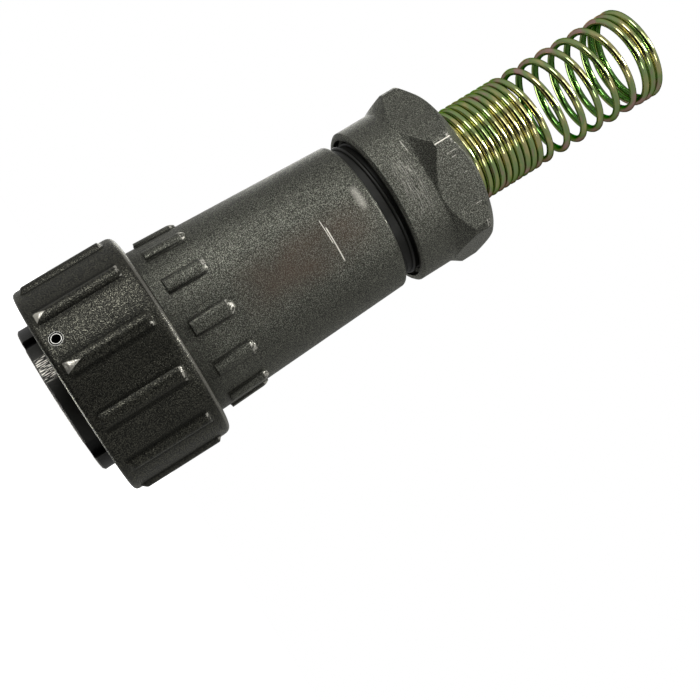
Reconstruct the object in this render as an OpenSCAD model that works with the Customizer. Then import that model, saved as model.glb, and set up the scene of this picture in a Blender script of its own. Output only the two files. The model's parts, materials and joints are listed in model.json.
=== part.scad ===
// Bayonet cable plug, five contacts, with a gland nut and a spring strain relief.
// The plug stands on its mating rim: z = 0 is the rim, +Z runs to the cable end.
// The main keyway of the shell looks along +X. Lengths in millimetres.

/* [Build] */
// One node by name, or "all"
$fn = 64;

/* [Shell] */
// Outer diameter of the mating barrel
shell_d = 23.7;
// Wall of the mating barrel
shell_wall = 1.75;
// Depth of the five keyways
key_depth = 1.05;
// Length of the keyways from the rim
key_len = 9;
// Width of the main keyway
key_main_w = 3.6;
// Width of the four other keyways
key_w = 1.9;
// Places of the keyways about the axis
key_angles = [0, 105, 140, 215, 265];
// Front of the flange that carries the coupling ring
flange_z = 11.2;
flange_t = 2;
// Step from the barrel up to the neck that the ring runs on
neck_step = 0.5;
// Step from the barrel's bore out to the seat of the insert
seat_step = 0.6;
// Wall of the threaded rear end
rear_wall = 0.9;
rear_thread_len = 9.3;

/* [Coupling ring] */
// Front of the ring
ring_z = 2.2;
// Gap between the barrel and the ring, where the receptacle goes
coupling_gap = 2.75;
// Wall of the ring between the grip ribs
ring_wall = 2.25;
ring_rib_h = 0.65;
ring_rib_count = 12;
ring_rib_angle = 5;
// Inward flange that runs on the neck
ring_flange_t = 3.05;
// Skirt that covers the front of the body
ring_skirt = 1.35;
// Bayonet pins
pin_d = 2.6;
pin_hole_d = 1.9;
// How far the pins reach in from the ring's bore
pin_reach = 1.45;
// From the front of the ring to the pins
pin_set_back = 2.4;
pin_angles = [50, 170, 290];

/* [Ring spring] */
washer_t = 0.4;
// Room for the wave washer, pressed as it is at rest
wave_h = 0.8;
wave_t = 0.3;
wave_count = 3;

/* [Insert and contacts] */
// From the insert's face back to the shell's flange
insert_set_back = 1.2;
insert_front_len = 4;
insert_mid_len = 6;
insert_rear_len = 5;
retainer_t = 1.4;
// From the circle of the contacts out to the insert's edge
contact_edge = 3.95;
contact_angles = [36, -36, 108, -108, 180];
small_contact_d = 1.5;
large_contact_d = 2.5;
// How far the pins stand out of the insert
contact_len = 8;
// The stem in the insert is this much thicker than the pin
stem_grow = 0.8;
// Solder cup behind the insert
tail_len = 6;
cup_depth = 4;

/* [Body] */
// Wall of the body over the shell's thread
body_wall = 2;
body_len = 35.54;
// How much the body's radius shrinks to its rear edge
body_taper = 1.42;
body_edge_r = 1.2;
// Wire of the seal between shell and body
o_ring_d = 1.44;
// Wall in front of the grommet's seat
seat_wall = 2;
// Ribs behind the coupling ring
body_rib_count = 12;
body_rib_angle = 20.5;
body_rib_set_back = 1.95;
body_rib_len = 6.8;
body_rib_w = 2.4;
body_rib_h = 0.65;
// Step from the body's rear edge down to the gland neck
neck_drop = 0.88;
// Wall of the gland neck, over its thread
neck_wall = 1.7;
// Depth of the gland thread: the neck is its core, the thread's ridge is left off
gland_thread_depth = 0.45;

/* [Gland] */
// Wall of the rubber grommet round the cable
grommet_wall = 3.3;
grommet_len = 5.2;
grommet_washer_t = 0.8;
// Room for the sleeve to move in and squeeze the grommet
squeeze = 2.4;
sleeve_len = 3.1;
// Spigot of the sleeve, inside the captive end of the spring
spigot_len = 1.9;
spigot_wall = 0.65;
// Wall of the nut at its flats
nut_wall = 1.7;
// Depth of the nut's chamber round the captive end of the spring
nut_chamber_len = 2.2;
// Gap between the body and the nut's skirt
nut_gap = 2.34;
nut_skirt_len = 6.42;
nut_cone_len = 2.8;
nut_hex_len = 2.4;
nut_end_len = 1.4;
nut_corner_angle = 3;

/* [Strain relief spring] */
wire_d = 1.14;
// Room between the cable and the spring
spring_room = 0.51;
// How much wider the captive end is, on the radius
flare = 1.32;
open_pitch = 3.23;
end_pitch = 1.3;
// Turns, in halves
flare_turns = 2.5;
tight_turns = 14;
open_turns = 6;
end_turns = 2.5;
spring_angle = 60;

/* [Hidden] */
fit = 0.05;

// Shell
shell_r = shell_d / 2;
shell_bore_d = shell_d - 2 * shell_wall;
seat_d = shell_bore_d + 2 * seat_step;
rear_thread_d = seat_d + 2 * rear_wall;
neck_d = shell_d + 2 * neck_step;
flange_end = flange_z + flange_t;
gasket_t = 1.5;

// Coupling ring
ring_bore_d = shell_d + 2 * coupling_gap;
ring_valley_d = ring_bore_d + 2 * ring_wall;
valley_r = ring_valley_d / 2;
peak_r = valley_r + ring_rib_h;
flange_d = ring_bore_d - 0.6;
ring_flange_z = flange_end + wave_h + washer_t;
ring_flange_bore_d = neck_d + 0.2;
body_z = ring_flange_z + ring_flange_t + fit;
ring_end = body_z + ring_skirt;
ring_len = ring_end - ring_z;
pin_z = ring_z + pin_set_back;
pin_tip_r = ring_bore_d / 2 - pin_reach;

// Insert and contacts
insert_z = flange_z - insert_set_back;
seat_z = insert_z + insert_front_len;
insert_mid_z = seat_z + insert_mid_len;
insert_end_z = insert_mid_z + insert_rear_len;
insert_d = shell_bore_d - 0.3;
contact_circle_r = insert_d / 2 - contact_edge;
contact_ds = [small_contact_d, small_contact_d, large_contact_d, large_contact_d, large_contact_d];
contact_tip_z = insert_z - contact_len;
contact_end_z = insert_end_z + tail_len;
shoulder_grow = stem_grow + 0.8;
tail_grow = 0.5;
retainer_bore_d = 2 * contact_circle_r + large_contact_d + 2.7;

// Body
rear_thread_end = body_z + rear_thread_len;
body_front_d = rear_thread_d + 2 * body_wall;
body_rear_d = body_front_d - 2 * body_taper;
body_rear_z = body_z + body_len;
body_slope = body_taper / (body_rear_z - ring_end);
body_cavity_d = rear_thread_d - 2.8;
body_rib_z = ring_end + body_rib_set_back;
ring_rear_bore_d = body_front_d + 0.7;

// Gland
neck_rear_d = body_rear_d - 2 * neck_drop;
neck_core_r = neck_rear_d / 2 - gland_thread_depth;
gland_seat_d = neck_rear_d - 2 * neck_wall;
gland_seat_z = body_rear_z - 2.84;
grommet_d = gland_seat_d - 0.2;
grommet_bore_d = grommet_d - 2 * grommet_wall;
body_cable_d = grommet_bore_d + 1.6;
grommet_z = gland_seat_z + grommet_washer_t;
grommet_end_z = grommet_z + grommet_len;
sleeve_d = gland_seat_d - 0.4;
sleeve_z = grommet_end_z + squeeze;
sleeve_end_z = sleeve_z + sleeve_len;
sleeve_bore_d = grommet_bore_d + 0.5;
neck_rear_z = sleeve_z + 1.6;
nut_flats = neck_rear_d + 2 * nut_wall;
nut_skirt_d = nut_flats - 0.2;
nut_end_d = nut_flats - 0.4;
nut_mouth_d = neck_rear_d + 1.2;
nut_z = body_rear_z + nut_gap;
nut_cone_z = nut_z + nut_skirt_len;
nut_hex_z = nut_cone_z + nut_cone_len;
nut_hex_end_z = nut_hex_z + nut_hex_len;
nut_end_z = nut_hex_end_z + nut_end_len;

// Strain relief spring
tight_pitch = wire_d + fit;
spring_r = grommet_bore_d / 2 + spring_room + wire_d / 2;
flare_r = spring_r + flare;
spring_z = sleeve_end_z + wire_d / 2 + 0.13;
nut_chamber_d = 2 * flare_r + wire_d + 1.06;
nut_chamber_end = spring_z + nut_chamber_len;
nut_bore_d = 2 * spring_r + wire_d + 0.8;
flare_end = flare_turns;
tight_end = flare_end + tight_turns;
open_end = tight_end + open_turns;
spring_turns = open_end + end_turns;

// Radius of the body's cone at a height
function body_r(z) = body_front_d / 2 - (z - ring_end) * body_slope;

// Quarter round from angle a0 to a1 about [cx, cy], in a few straight steps
function round_pts(cx, cy, r, a0, a1) =
    [for (i = [0 : 6]) [cx + r * cos(a0 + (a1 - a0) * i / 6), cy + r * sin(a0 + (a1 - a0) * i / 6)]];

// A flat ring between two heights
module band(d_out, d_in, z0, z1) {
    translate([0, 0, z0])
        difference() {
            cylinder(d = d_out, h = z1 - z0);
            translate([0, 0, -1])
                cylinder(d = d_in, h = z1 - z0 + 2);
        }
}

module keyways() {
    for (i = [0 : len(key_angles) - 1])
        rotate([0, 0, key_angles[i]])
            translate([shell_r - key_depth, -(i == 0 ? key_main_w : key_w) / 2, -1])
                cube([3, i == 0 ? key_main_w : key_w, key_len + 1]);
}

// Front shell: mating barrel, ring flange, ring neck and rear thread
module plug_shell() {
    rim = 0.3;
    color("#3a3a37")
        difference() {
            rotate_extrude()
                polygon([[shell_bore_d / 2 + rim, 0],
                         [shell_r - rim, 0],
                         [shell_r, rim],
                         [shell_r, flange_z],
                         [flange_d / 2, flange_z],
                         [flange_d / 2, flange_end],
                         [neck_d / 2, flange_end],
                         [neck_d / 2, body_z],
                         [rear_thread_d / 2, body_z],
                         [rear_thread_d / 2, rear_thread_end],
                         [seat_d / 2, rear_thread_end],
                         [seat_d / 2, seat_z],
                         [shell_bore_d / 2, seat_z],
                         [shell_bore_d / 2, rim]]);
            keyways();
        }
}

// Flat rubber face seal at the bottom of the gap inside the coupling ring
module shell_gasket() {
    color("#151515")
        band(ring_bore_d - 1, shell_d + 2 * fit, flange_z - gasket_t, flange_z);
}

module contact_holes(z0, z1, grow) {
    for (i = [0 : 4])
        rotate([0, 0, contact_angles[i]])
            translate([contact_circle_r, 0, z0])
                cylinder(d = contact_ds[i] + grow, h = z1 - z0);
}

// Blue front insert: the contact shoulders sit in its back
module contact_insert() {
    color("#22355c")
        difference() {
            union() {
                translate([0, 0, insert_z])
                    cylinder(d = insert_d, h = seat_z - insert_z + 1);
                translate([0, 0, seat_z])
                    cylinder(d = seat_d - 2 * fit, h = insert_mid_z - seat_z);
            }
            contact_holes(insert_z - 1, insert_mid_z + 1, stem_grow + 2 * fit);
            contact_holes(insert_mid_z - 3, insert_mid_z + 1, shoulder_grow + 2 * fit);
            translate([insert_d / 2 - 0.7, -0.6, insert_z - 1])
                cube([2, 1.2, 2]);
        }
}

// Rear insert: holds the contact shoulders in the front insert
module rear_insert() {
    color("#2a3f6b")
        difference() {
            translate([0, 0, insert_mid_z])
                cylinder(d = seat_d - 2 * fit, h = insert_end_z - insert_mid_z);
            contact_holes(insert_mid_z - 1, insert_end_z + 1, tail_grow + 2 * fit);
        }
}

// Threaded ring that closes the insert seat, with two spanner slots
module insert_retaining_ring() {
    z1 = insert_end_z + retainer_t;
    color("#8a8a80")
        difference() {
            band(seat_d - fit, retainer_bore_d, insert_end_z, z1);
            translate([-seat_d / 2 - 1, -0.8, z1 - 0.7])
                cube([seat_d + 2, 1.6, 2]);
        }
}

// Contact pin: round tip, captive shoulder and solder cup
module contact(i) {
    d = contact_ds[i];
    tail_d = d + tail_grow;
    cup_d = d - 0.3;
    color("#c9a24a")
        rotate([0, 0, contact_angles[i]])
            translate([contact_circle_r, 0, 0])
                difference() {
                    union() {
                        translate([0, 0, contact_tip_z + d / 2])
                            sphere(d = d);
                        translate([0, 0, contact_tip_z + d / 2])
                            cylinder(d = d, h = insert_z - contact_tip_z - d / 2);
                        translate([0, 0, insert_z])
                            cylinder(d = d + stem_grow, h = insert_mid_z - insert_z);
                        translate([0, 0, insert_mid_z - 3])
                            cylinder(d = d + shoulder_grow, h = 3);
                        translate([0, 0, insert_mid_z - 1])
                            cylinder(d = tail_d, h = contact_end_z - insert_mid_z + 1);
                    }
                    translate([0, 0, contact_end_z - cup_depth])
                        cylinder(d = cup_d, h = cup_depth + 1);
                    translate([0, -2, contact_end_z - cup_depth * 0.55])
                        cube([4, 4, cup_depth]);
                }
}

// Flat ring washer that carries the thrust of the coupling ring
module thrust_washer() {
    color("#b8b8b4")
        band(ring_bore_d - 0.4, ring_flange_bore_d, ring_flange_z - washer_t, ring_flange_z);
}

// Wave spring washer between the shell flange and the thrust washer
module wave_washer() {
    n = 48;
    r0 = neck_d / 2 + 0.15;
    r1 = flange_d / 2 - 0.2;
    rise = ring_flange_z - washer_t - flange_end - wave_t;
    pts = [for (i = [0 : n - 1], r = [r0, r1], t = [0, wave_t])
               [r * cos(i * 360 / n), r * sin(i * 360 / n),
                flange_end + t + rise * (1 - cos(i * 360 / n * wave_count)) / 2]];
    sides = [for (i = [0 : n - 1], s = [[0, 1, 5, 4], [2, 6, 7, 3], [1, 3, 7, 5], [0, 4, 6, 2]])
                 [for (k = s) (4 * i + k) % (4 * n)]];
    color("#9a9a94")
        polyhedron(points = pts, faces = sides, convexity = 8);
}

// One grip rib of the coupling ring, drawn about +X
module ring_rib_2d() {
    foot_r = valley_r - 0.4;
    shoulder_r = peak_r - 0.18;
    polygon([[foot_r * cos(6.6), -foot_r * sin(6.6)],
             [shoulder_r * cos(3), -shoulder_r * sin(3)],
             [peak_r * cos(1.4), -peak_r * sin(1.4)],
             [peak_r * cos(1.4), peak_r * sin(1.4)],
             [shoulder_r * cos(3), shoulder_r * sin(3)],
             [foot_r * cos(6.6), foot_r * sin(6.6)]]);
}

// Outline that all of the ring's outside stays within
module ring_envelope() {
    front = 1.2;
    rear = 2;
    skin_r = valley_r + 0.04;
    rotate_extrude()
        polygon(concat([[0, ring_z]],
                       round_pts(skin_r - front, ring_z + front, front, -90, 0),
                       [[peak_r + 0.1, ring_z + front + 0.8],
                        [peak_r + 0.1, ring_end - rear - 0.6]],
                       round_pts(skin_r - rear, ring_end - rear, rear, 0, 90),
                       [[0, ring_end]]));
}

// Coupling ring with its grip ribs and the three pin holes
module coupling_ring() {
    mouth = 0.4;
    color("#2f2f2c")
        difference() {
            intersection() {
                translate([0, 0, ring_z])
                    linear_extrude(height = ring_len)
                        union() {
                            circle(d = ring_valley_d);
                            for (k = [0 : ring_rib_count - 1])
                                rotate([0, 0, ring_rib_angle + k * 360 / ring_rib_count])
                                    ring_rib_2d();
                        }
                ring_envelope();
            }
            rotate_extrude()
                polygon([[0, ring_z - 1],
                         [ring_bore_d / 2 + mouth, ring_z - 1],
                         [ring_bore_d / 2 + mouth, ring_z],
                         [ring_bore_d / 2, ring_z + mouth],
                         [ring_bore_d / 2, ring_flange_z],
                         [ring_flange_bore_d / 2, ring_flange_z],
                         [ring_flange_bore_d / 2, body_z - fit],
                         [ring_rear_bore_d / 2, body_z - fit],
                         [ring_rear_bore_d / 2, ring_end + 1],
                         [0, ring_end + 1]]);
            for (a = pin_angles)
                rotate([0, 0, a])
                    translate([ring_bore_d / 2 - 1, 0, pin_z])
                        rotate([0, 90, 0])
                            cylinder(d = pin_d, h = 5);
        }
}

// Hollow bayonet pin pressed into the ring from outside
module bayonet_pin(i) {
    len = valley_r - 0.03 - pin_tip_r;
    color("#c8c8c4")
        rotate([0, 0, pin_angles[i]])
            translate([pin_tip_r, 0, pin_z])
                rotate([0, 90, 0])
                    difference() {
                        union() {
                            translate([0, 0, 0.25])
                                cylinder(d = pin_d, h = len - 0.25);
                            cylinder(d1 = pin_d - 0.5, d2 = pin_d, h = 0.25);
                        }
                        translate([0, 0, 1.2])
                            cylinder(d = pin_hole_d, h = len);
                    }
}

// The ribs that stand round the front of the body
module body_ribs() {
    low = 1.2;
    intersection() {
        for (k = [0 : body_rib_count - 1])
            rotate([0, 0, body_rib_angle + k * 360 / body_rib_count]) {
                translate([body_r(body_rib_z) - low, -body_rib_w / 2, body_rib_z])
                    cube([3, body_rib_w, body_rib_len - body_rib_w / 2]);
                translate([body_r(body_rib_z) - low, 0, body_rib_z + body_rib_len - body_rib_w / 2])
                    rotate([0, 90, 0])
                        cylinder(d = body_rib_w, h = 3);
            }
        rotate_extrude()
            polygon([[body_cavity_d / 2, body_rib_z],
                     [body_r(body_rib_z) + body_rib_h, body_rib_z],
                     [body_r(body_rib_z + body_rib_len) + body_rib_h, body_rib_z + body_rib_len],
                     [body_cavity_d / 2, body_rib_z + body_rib_len]]);
    }
}

// Rear body: screws on the shell, carries the gland neck
module body_shell() {
    bore_end = rear_thread_end + o_ring_d + 0.06;
    color("#45453f")
        difference() {
            union() {
                rotate_extrude()
                    polygon(concat([[0, body_z],
                                    [body_r(ring_end), body_z],
                                    [body_r(ring_end), ring_end]],
                                   round_pts(body_rear_d / 2 - body_edge_r, body_rear_z - body_edge_r,
                                             body_edge_r, 2, 90),
                                   [[neck_core_r, body_rear_z],
                                    [neck_core_r, neck_rear_z - 0.3],
                                    [neck_core_r - 0.3, neck_rear_z],
                                    [0, neck_rear_z]]));
                body_ribs();
            }
            rotate_extrude()
                polygon([[0, body_z - 1],
                         [rear_thread_d / 2 + fit, body_z - 1],
                         [rear_thread_d / 2 + fit, bore_end],
                         [body_cavity_d / 2, bore_end],
                         [body_cavity_d / 2, gland_seat_z - 2 * seat_wall],
                         [body_cable_d / 2, gland_seat_z - seat_wall],
                         [body_cable_d / 2, gland_seat_z],
                         [gland_seat_d / 2, gland_seat_z],
                         [gland_seat_d / 2, neck_rear_z + 1],
                         [0, neck_rear_z + 1]]);
        }
}

// Seal between the shell's rear end and the body
module body_o_ring() {
    color("#1a1a1a")
        translate([0, 0, rear_thread_end + o_ring_d / 2 + 0.03])
            rotate_extrude()
                translate([rear_thread_d / 2 + fit - o_ring_d / 2 - 0.01, 0])
                    circle(d = o_ring_d);
}

module grommet_washer() {
    color("#b0b0a8")
        band(grommet_d, body_cable_d - 0.2, gland_seat_z, grommet_z);
}

// Rubber grommet that seals on the cable
module cable_grommet() {
    lead = 0.6;
    color("#202020")
        rotate_extrude()
            polygon([[grommet_bore_d / 2, grommet_z],
                     [grommet_d / 2, grommet_z],
                     [grommet_d / 2, grommet_end_z - lead],
                     [grommet_d / 2 - lead, grommet_end_z],
                     [grommet_bore_d / 2, grommet_end_z]]);
}

// Sleeve that the nut and the spring push on to the grommet; its spigot centres the spring
module clamp_sleeve() {
    spigot_r = sleeve_bore_d / 2 + spigot_wall;
    color("#a8a8a0")
        rotate_extrude()
            polygon([[sleeve_bore_d / 2, sleeve_z],
                     [sleeve_d / 2, sleeve_z],
                     [sleeve_d / 2, sleeve_end_z],
                     [spigot_r, sleeve_end_z],
                     [spigot_r, sleeve_end_z + spigot_len],
                     [sleeve_bore_d / 2, sleeve_end_z + spigot_len]]);
}

// Gland nut: round skirt, six flats with coned corners
module gland_nut() {
    edge = 0.4;
    corner_d = nut_flats / cos(30);
    blunt_r = corner_d / 2 - 0.06;
    color("#55554f")
        difference() {
            intersection() {
                translate([0, 0, nut_z - 1])
                    rotate([0, 0, nut_corner_angle])
                        cylinder(d = corner_d, h = nut_end_z - nut_z + 2, $fn = 6);
                rotate_extrude()
                    polygon([[0, nut_z],
                             [nut_skirt_d / 2 - edge, nut_z],
                             [nut_skirt_d / 2, nut_z + edge],
                             [nut_skirt_d / 2, nut_cone_z],
                             [blunt_r, nut_hex_z],
                             [blunt_r, nut_hex_end_z],
                             [nut_end_d / 2, nut_end_z],
                             [0, nut_end_z]]);
            }
            rotate_extrude()
                polygon([[0, nut_z - 1],
                         [nut_mouth_d / 2, nut_z - 1],
                         [nut_mouth_d / 2, nut_z + 1],
                         [neck_rear_d / 2 + fit, nut_z + 1.3],
                         [neck_rear_d / 2 + fit, neck_rear_z + 2.3],
                         [nut_chamber_d / 2, neck_rear_z + 2.3],
                         [nut_chamber_d / 2, nut_chamber_end],
                         [nut_bore_d / 2, nut_chamber_end + 1.7],
                         [nut_bore_d / 2, nut_end_z + 1],
                         [0, nut_end_z + 1]]);
        }
}

// Height and radius of the wire's middle after a number of turns
function spring_h(t) =
    spring_z + tight_pitch * min(t, tight_end)
    + open_pitch * max(0, min(t, open_end) - tight_end)
    + end_pitch * max(0, t - open_end);
function spring_rad(t) =
    t <= 1 ? flare_r
    : t >= flare_end ? spring_r
    : flare_r + (spring_r - flare_r) * (t - 1) / (flare_end - 1);
// Each half turn ends on the plane y = 0, first on +x, then on -x
function spring_pt(k) = [(k % 2 == 0 ? 1 : -1) * spring_rad(k / 2), 0, spring_h(k / 2)];

// One half turn of wire: half a torus that leans from one end point to the next.
// Every other one is a hair thinner and runs on into its neighbours, so that they join.
module half_turn(k) {
    p = spring_pt(k);
    q = spring_pt(k + 1);
    mid = (p + q) / 2;
    lean = atan2(p[2] - mid[2], abs(p[0] - mid[0]));
    even = k % 2 == 0;
    over = even ? 0 : 0.5;
    translate(mid)
        rotate([0, even ? -lean : lean, 0])
            rotate([0, 0, (even ? 0 : 180) - over])
                rotate_extrude(angle = 180 + 2 * over)
                    translate([norm(p - mid), 0])
                        circle(d = wire_d - (even ? 0 : 0.02));
}

// Strain relief: a flared captive end in the nut, close turns, open turns, close end
module strain_relief_spring() {
    color("#a59a52")
        rotate([0, 0, spring_angle])
            union() {
                for (k = [0 : 2 * spring_turns - 1])
                    half_turn(k);
            }
}

plug_shell();
shell_gasket();
contact_insert();
rear_insert();
insert_retaining_ring();
contact(0);  // contact_1
contact(1);  // contact_2
contact(2);  // contact_3
contact(3);  // contact_4
contact(4);  // contact_5
wave_washer();
thrust_washer();
coupling_ring();
bayonet_pin(0);  // bayonet_pin_1
bayonet_pin(1);  // bayonet_pin_2
bayonet_pin(2);  // bayonet_pin_3
body_shell();
body_o_ring();
grommet_washer();
cable_grommet();
clamp_sleeve();
gland_nut();
strain_relief_spring();
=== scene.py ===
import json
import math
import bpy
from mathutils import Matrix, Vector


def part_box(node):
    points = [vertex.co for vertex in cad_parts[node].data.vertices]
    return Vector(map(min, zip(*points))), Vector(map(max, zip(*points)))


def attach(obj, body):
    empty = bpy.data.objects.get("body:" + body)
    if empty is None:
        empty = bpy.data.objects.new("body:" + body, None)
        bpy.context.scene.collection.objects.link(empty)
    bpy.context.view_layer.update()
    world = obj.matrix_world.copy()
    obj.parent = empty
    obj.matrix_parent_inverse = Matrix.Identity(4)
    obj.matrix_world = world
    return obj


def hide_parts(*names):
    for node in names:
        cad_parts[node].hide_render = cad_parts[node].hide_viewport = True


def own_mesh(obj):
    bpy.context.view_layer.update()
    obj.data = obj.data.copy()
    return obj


bl_info = {
    "name": "Bayonet cable plug",
    "version": (1, 0, 0),
    "blender": (4, 5, 0),
    "location": "View3D > Sidebar > Plug",
    "description": "Dresses the frame of a five-pin bayonet cable plug: "
                   "castings, spring wire, thread, numbers and finishes",
    "category": "Object",
}

import bmesh
import bpy
from mathutils import Matrix, Vector

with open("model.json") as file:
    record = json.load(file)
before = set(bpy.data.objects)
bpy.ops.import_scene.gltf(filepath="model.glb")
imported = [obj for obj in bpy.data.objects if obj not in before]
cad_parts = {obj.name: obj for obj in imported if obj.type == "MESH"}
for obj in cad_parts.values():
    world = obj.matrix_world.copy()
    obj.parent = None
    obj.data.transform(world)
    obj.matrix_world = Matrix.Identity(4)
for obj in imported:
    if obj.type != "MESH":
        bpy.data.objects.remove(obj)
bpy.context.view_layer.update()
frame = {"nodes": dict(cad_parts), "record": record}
MM = 0.001
TURN = 2 * math.pi

# Lengths on the plug are in millimetres, and heights are counted from the mating rim towards the cable.
# The properties and the stage are in metres
RING_RIB_START = math.radians(5)
BODY_RIB_START = math.radians(20.5)
FIRST_PIN = math.radians(50)
PIN_COUNT = 3
PIN_HEIGHT = 4.6
BARREL_RADIUS = 11.85
# Edges that turn by more degrees than this stay hard
CAST_EDGE = 38
FINE_EDGE = 60
# Bright bare metal colour, for chips and for painted highlights
BARE_METAL_AND_HIGHLIGHT = "#ece8dc"


# Helpers for shapes


def soft_min(a, b, k):
    """The smaller of two lengths, with the corner between them rounded over k."""
    h = max(k - abs(a - b), 0.0) / k
    return min(a, b) - h * h * k / 4


def soft_max(a, b, k):
    """The larger of two lengths, with the corner between them rounded over k."""
    return -soft_min(-a, -b, k)


def off_centre(angle, start, pitch):
    """How far an angle lies from the nearest of the places that repeat at a pitch from start."""
    return (angle - start + pitch / 2) % pitch - pitch / 2


def rounded(outline, steps=5):
    """Closed outline of (radius, height, corner radius) with its corners turned into arcs."""
    points = []
    for i, (r, z, size) in enumerate(outline):
        here = Vector((r, z))
        before = Vector(outline[i - 1][:2]) - here
        after = Vector(outline[(i + 1) % len(outline)][:2]) - here
        if size == 0:
            points.append((r, z))
            continue
        half = before.angle(after) / 2
        # Two arcs on one side may not meet
        most = 0.49 * min(before.length, after.length)
        reach = min(size / math.tan(half), most)
        start = here + before.normalized() * reach
        end = here + after.normalized() * reach
        for s in range(steps + 1):
            t = s / steps
            p = start * (1 - t) ** 2 + here * 2 * t * (1 - t) + end * t * t
            points.append((p.x, p.y))
    return points


def close_set(outline, step, low):
    """The outline with its long straight runs split, where the radius is at least low."""
    points = []
    for i, (r, z) in enumerate(outline):
        points.append((r, z))
        r2, z2 = outline[(i + 1) % len(outline)]
        run = math.hypot(r2 - r, z2 - z)
        if run > step and min(r, r2) >= low:
            parts = math.ceil(run / step)
            points += [(r + (r2 - r) * k / parts, z + (z2 - z) * k / parts) for k in range(1, parts)]
    return points


def placed(name, data):
    """Object of a mesh, curve, camera or light, put in the scene."""
    thing = bpy.data.objects.new(name, data)
    bpy.context.scene.collection.objects.link(thing)
    return thing


def smoothed(mesh, sharp=CAST_EDGE):
    """Smooth faces, with only the sharp edges left hard."""
    mesh.polygons.foreach_set("use_smooth", [True] * len(mesh.polygons))
    mesh.set_sharp_from_angle(angle=math.radians(sharp))


def solid(name, verts, faces, sharp=CAST_EDGE):
    """Mesh object of points in metres, its doubles merged and its faces turned outwards."""
    mesh = bpy.data.meshes.new(name)
    mesh.from_pydata(verts, [], faces)
    shell = bmesh.new()
    shell.from_mesh(mesh)
    bmesh.ops.remove_doubles(shell, verts=shell.verts, dist=1e-7)
    bmesh.ops.recalc_face_normals(shell, faces=shell.faces)
    shell.to_mesh(mesh)
    shell.free()
    smoothed(mesh, sharp)
    return placed(name, mesh)


def swept(name, sections):
    """Mesh object through closed sections of points, the last section joined to the first."""
    count = len(sections[0])
    verts = [[c * MM for c in point] for section in sections for point in section]
    faces = []
    for i in range(len(sections)):
        j = (i + 1) % len(sections)
        for k in range(count):
            m = (k + 1) % count
            faces.append((i * count + k, j * count + k, j * count + m, i * count + m))
    return solid(name, verts, faces)


def spun(name, outline, steps, relief=None):
    """Mesh object of a closed outline spun about the axis. relief(angle, r, z) gives the new radius."""
    sections = []
    for i in range(steps):
        angle = TURN * i / steps
        section = []
        for r, z in outline:
            reach = relief(angle, r, z) if relief else r
            section.append((reach * math.cos(angle), reach * math.sin(angle), z))
        sections.append(section)
    return swept(name, sections)


def disc(name, radius, finish):
    """Flat round plate for the stage, its radius in metres."""
    plate = bmesh.new()
    bmesh.ops.create_circle(plate, cap_ends=True, segments=96, radius=radius)
    mesh = bpy.data.meshes.new(name)
    plate.to_mesh(mesh)
    plate.free()
    mesh.materials.append(finish)
    return placed(name, mesh)


def path_object(name, points):
    """Edge chain through points, for a node tree to follow."""
    mesh = bpy.data.meshes.new(name)
    mesh.from_pydata([[c * MM for c in p] for p in points], [(i, i + 1) for i in range(len(points) - 1)], [])
    return placed(name, mesh)


def plain_mesh(thing):
    """The mesh that an object shows, modifiers and all."""
    graph = bpy.context.evaluated_depsgraph_get()
    return bpy.data.meshes.new_from_object(
        thing.evaluated_get(graph), preserve_all_data_layers=True, depsgraph=graph)


def baked(piece, tree=None, inputs=None):
    """The piece with its modifiers, or with one node tree and its inputs, turned into a plain mesh."""
    if tree:
        modifier = piece.modifiers.new(tree.name, "NODES")
        modifier.node_group = tree
        for socket in tree.interface.items_tree:
            if socket.in_out == "INPUT" and socket.name in inputs:
                modifier[socket.identifier] = inputs[socket.name]
    mesh = plain_mesh(piece)
    piece.modifiers.clear()
    piece.data = mesh
    return piece


def add(tree, kind, sockets=None, stops=(), **settings):
    """One node with its settings. sockets holds a value or a link for each input, by its name or its number:
    1 to 4 are the range that a Map Range reads and the range that it gives, 6 and 7 the colours that a Mix blends.
    stops holds the positions and colours of a colour ramp."""
    node = tree.nodes.new(kind)
    for key, value in settings.items():
        setattr(node, key, value)
    for key, value in (sockets or {}).items():
        if isinstance(value, bpy.types.NodeSocket):
            tree.links.new(value, node.inputs[key])
        else:
            node.inputs[key].default_value = value
    for i, (position, colour) in enumerate(stops):
        ramp = node.color_ramp.elements
        stop = ramp[i] if i < 2 else ramp.new(position)
        stop.position, stop.color = position, colour
    return node


def tree_with(name, inputs):
    """Geometry node tree with named inputs, and its two end nodes."""
    tree = bpy.data.node_groups.new(name, "GeometryNodeTree")
    tree.interface.new_socket("Geometry", in_out="INPUT", socket_type="NodeSocketGeometry")
    for label, kind in inputs:
        tree.interface.new_socket(label, in_out="INPUT", socket_type=kind)
    tree.interface.new_socket("Geometry", in_out="OUTPUT", socket_type="NodeSocketGeometry")
    return tree, tree.nodes.new("NodeGroupInput").outputs, tree.nodes.new("NodeGroupOutput")


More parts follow.
